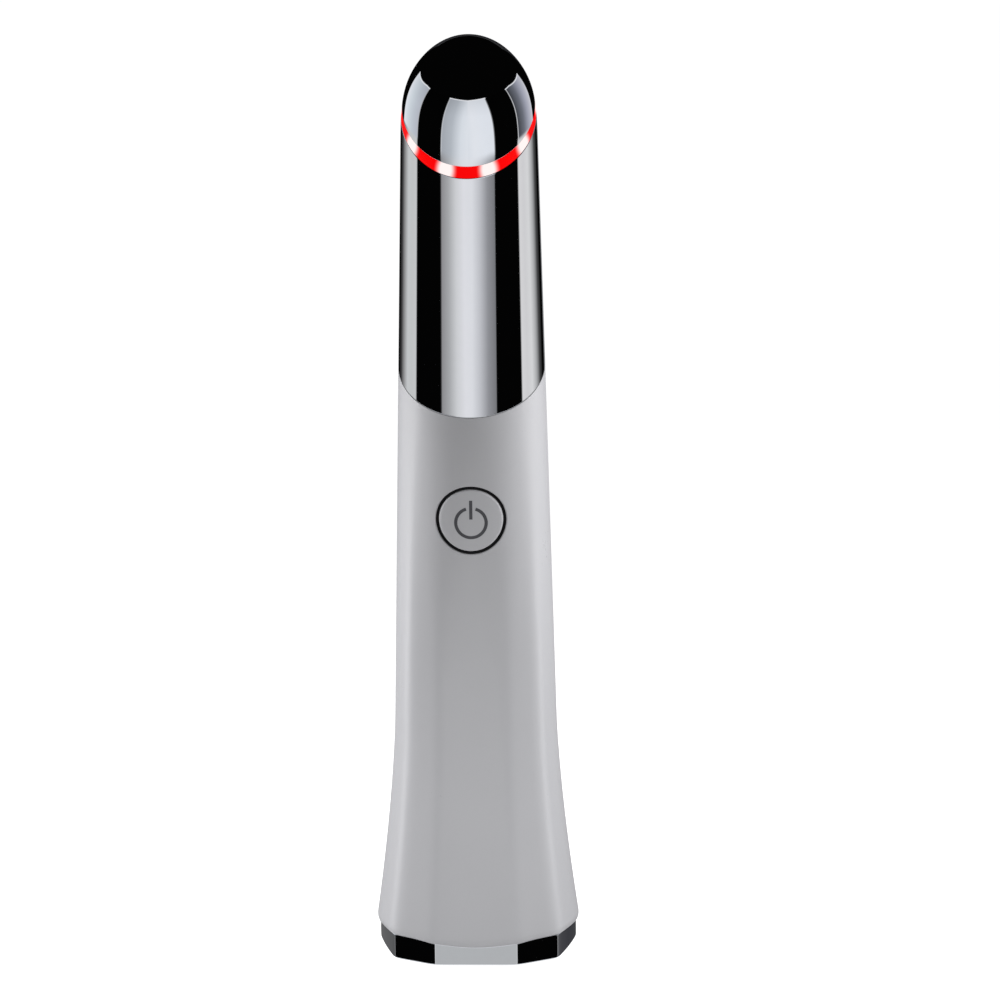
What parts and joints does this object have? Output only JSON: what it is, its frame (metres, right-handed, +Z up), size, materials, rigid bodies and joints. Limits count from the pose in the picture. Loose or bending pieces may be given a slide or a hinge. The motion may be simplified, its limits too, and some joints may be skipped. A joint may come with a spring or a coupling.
{
  "type": "heated eye massager wand",
  "caption": "Free-standing wand with a warm chrome massage head, a lit red ring, a chrome barrel and a flared grey casing with one power button.",
  "frame": {"origin": "centre of the flat underside, on the surface that the wand stands on", "axes": "+Z up the wand to the tip of the massage head; the power button faces -Y; +X is to the right as the button is seen"},
  "size_m": [0.0308, 0.0268, 0.14],
  "materials": {
    "polished_chrome": "bright chrome plating, mirror polish",
    "red_diffuser": "translucent red diffuser, lit from inside",
    "satin_grey_plastic": "satin silver-grey sprayed ABS",
    "black_silicone": "black silicone rubber",
    "symbol_ink": "dark grey moulded symbol",
    "black_plastic": "moulded black ABS",
    "cream_plastic": "natural nylon",
    "white_plastic": "moulded white ABS",
    "board_laminate": "green solder mask on glass-epoxy laminate",
    "white_board": "white solder mask on laminate",
    "chip_epoxy": "moulded epoxy",
    "film_ribbon": "polyimide film over copper",
    "zinc_steel": "zinc-plated steel",
    "drawn_steel": "drawn steel",
    "battery_can": "lithium cell in a blue shrink sleeve",
    "lead_sleeve": "silicone-covered leads",
    "tungsten_weight": "sintered heavy alloy",
    "led_package": "clear resin LED package",
    "spreader_aluminium": "stamped aluminium"
  },
  "bodies": {
    "wand": {"massage_head": "polished_chrome", "light_ring": "red_diffuser", "upper_barrel": "polished_chrome", "lower_casing": "satin_grey_plastic", "button_gasket": "black_silicone", "switch_body": "black_plastic", "main_board": "board_laminate", "board_chips": "chip_epoxy", "ribbon_connector": "cream_plastic", "head_ribbon": "film_ribbon", "board_screws": "zinc_steel", "chassis": "black_plastic", "neck_seals": "black_silicone", "battery": "battery_can", "battery_leads": "lead_sleeve", "charge_board": "board_laminate", "usb_socket": "drawn_steel", "usb_tongue": "black_plastic", "base_trim": "polished_chrome", "base_plate": "black_plastic", "base_screws": "zinc_steel", "base_pad": "black_silicone", "head_carrier": "white_plastic", "led_board": "white_board", "leds": "led_package", "heater_plate": "spreader_aluminium", "heater_film": "film_ribbon", "thermistor": "chip_epoxy", "motor_boot": "black_silicone", "motor_can": "drawn_steel", "motor_leads": "lead_sleeve"},
    "button": {"power_button": "satin_grey_plastic", "power_symbol": "symbol_ink", "switch_plunger": "cream_plastic"},
    "rotor": {"motor_shaft": "drawn_steel", "eccentric_weight": "tungsten_weight"}
  },
  "joints": [
    {"name": "button_press", "type": "slide", "parent": "wand", "child": "button", "axis": [0, 1, 0], "range_m": [0, 0.0004], "stiffness_N_per_m": 1500, "springref_m": -0.0002},
    {"name": "rotor_spin", "type": "hinge", "parent": "wand", "child": "rotor", "pos_m": [0, 0, 0.1185], "axis": [0, 0, 1], "continuous": true}
  ]
}
